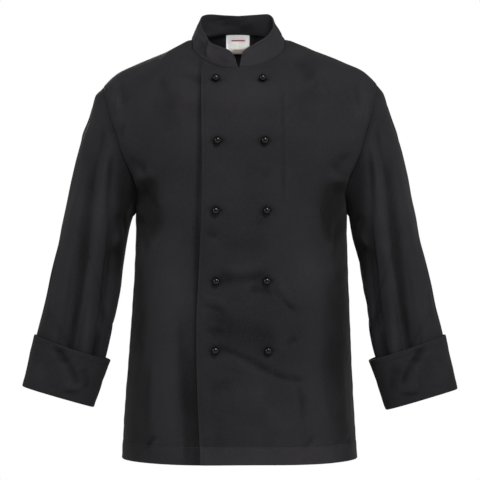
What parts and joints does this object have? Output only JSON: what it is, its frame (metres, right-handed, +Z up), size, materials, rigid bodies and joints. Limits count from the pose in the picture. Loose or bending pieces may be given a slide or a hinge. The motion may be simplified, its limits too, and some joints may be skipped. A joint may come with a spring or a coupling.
{
  "type": "chef jacket",
  "caption": "Long-sleeved double-breasted chef jacket with a stand collar and turned-back cuffs, filled out as worn, hollow and open at neck, cuffs and hem.",
  "frame": {"origin": "middle of the neck opening, level with the neck points, where the wearer's neck and shoulders hold the jacket", "axes": "+Z up towards the collar, -Y the way the jacket faces, +X the wearer's left"},
  "size_m": [0.7896, 0.2752, 0.8144],
  "materials": {
    "black_twill": "matt black poly-cotton twill",
    "black_button": "glossy black ball stud",
    "white_label": "woven white label"
  },
  "bodies": {
    "root": {"left_front": "black_twill", "right_front": "black_twill", "back": "black_twill", "left_sleeve": "black_twill", "right_sleeve": "black_twill", "left_cuff": "black_twill", "right_cuff": "black_twill", "collar": "black_twill", "neck_label": "white_label", "button_left_1": "black_button", "button_left_2": "black_button", "button_left_3": "black_button", "button_left_4": "black_button", "button_left_5": "black_button", "button_right_1": "black_button", "button_right_2": "black_button", "button_right_3": "black_button", "button_right_4": "black_button", "button_right_5": "black_button"}
  },
  "joints": []
}
